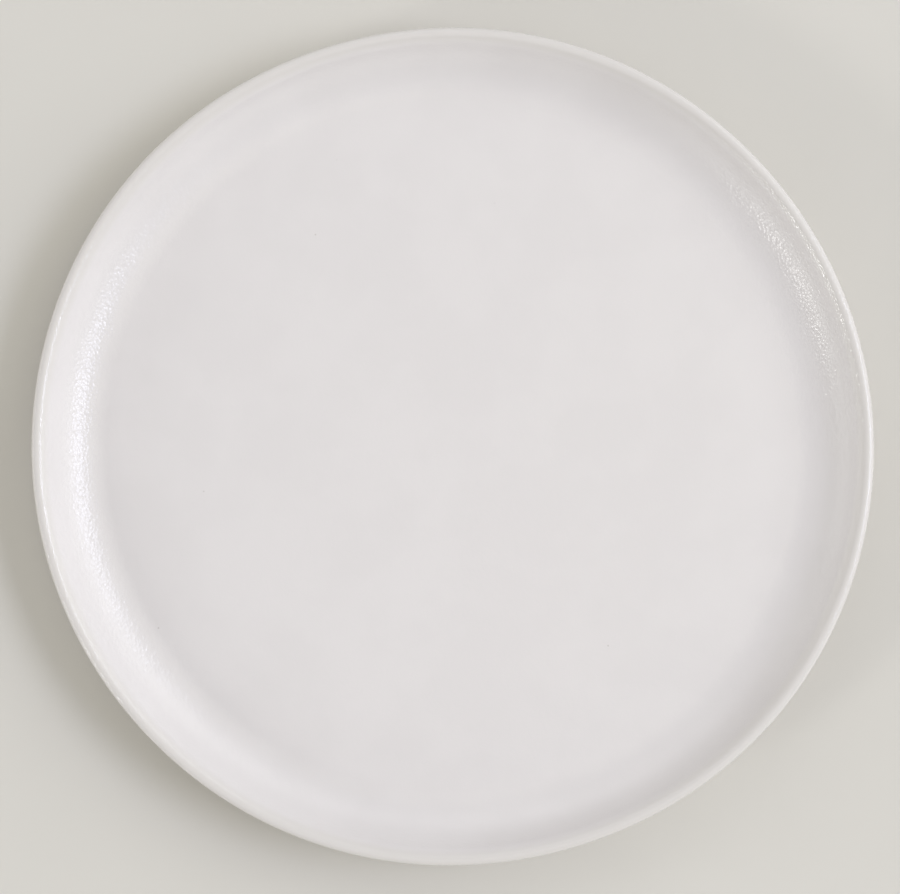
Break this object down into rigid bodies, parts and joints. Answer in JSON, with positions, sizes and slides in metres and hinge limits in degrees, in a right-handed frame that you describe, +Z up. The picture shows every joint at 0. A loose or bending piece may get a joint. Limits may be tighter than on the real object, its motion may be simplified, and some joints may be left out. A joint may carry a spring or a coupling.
{
  "type": "coupe salad plate",
  "caption": "Round coupe salad plate in satin white glazed stoneware, with a flat well, a low wall that curves up steeply to a narrow rounded lip, and a bare foot ring, for serving a salad or starter.",
  "frame": {"origin": "on the table under the centre of the plate, in the plane of the foot ring", "axes": "+Z up, along the axis that the plate was turned about"},
  "size_m": [0.216, 0.216, 0.02],
  "materials": {
    "bare_stoneware": "bare fired buff stoneware, sanded smooth on the foot",
    "satin_white_glaze": "satin white glaze with a fine orange-peel grain, a little warmer where it thins over the lip"
  },
  "bodies": {
    "root": {"stoneware_body": "bare_stoneware", "glaze_coat": "satin_white_glaze", "foot_well_glaze": "satin_white_glaze"}
  },
  "joints": []
}
